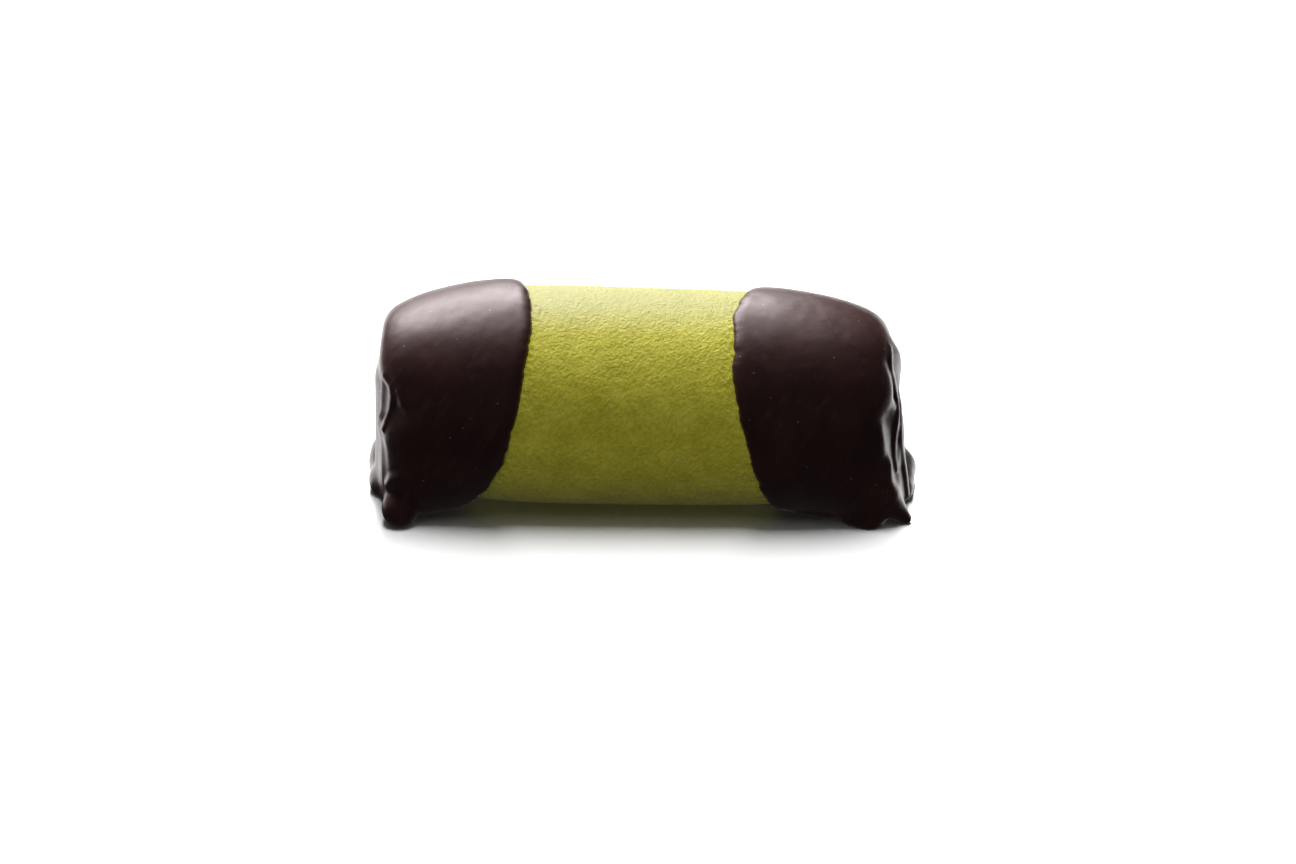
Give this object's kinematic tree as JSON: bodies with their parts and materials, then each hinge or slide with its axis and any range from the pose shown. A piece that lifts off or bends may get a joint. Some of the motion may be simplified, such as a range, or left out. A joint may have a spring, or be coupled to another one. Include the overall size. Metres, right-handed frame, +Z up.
{
  "type": "marzipan punsch roll",
  "caption": "Small pastry roll wrapped in pale green marzipan, lying on its side, with both ends dipped in dark chocolate that runs down into uneven feet.",
  "frame": {"origin": "on the table, under the middle of the whole piece", "axes": "+X along the roll, towards the end with the pointed drip; the pictured front faces -Y; +Z up"},
  "size_m": [0.0721, 0.029, 0.0286],
  "materials": {
    "marzipan": "soft matte sugar paste with fine wrinkles and grain",
    "chocolate": "satin dark coating with a soft sheen"
  },
  "bodies": {
    "root": {"marzipan_roll": "marzipan", "chocolate_end_left": "chocolate", "chocolate_end_right": "chocolate"}
  },
  "joints": []
}
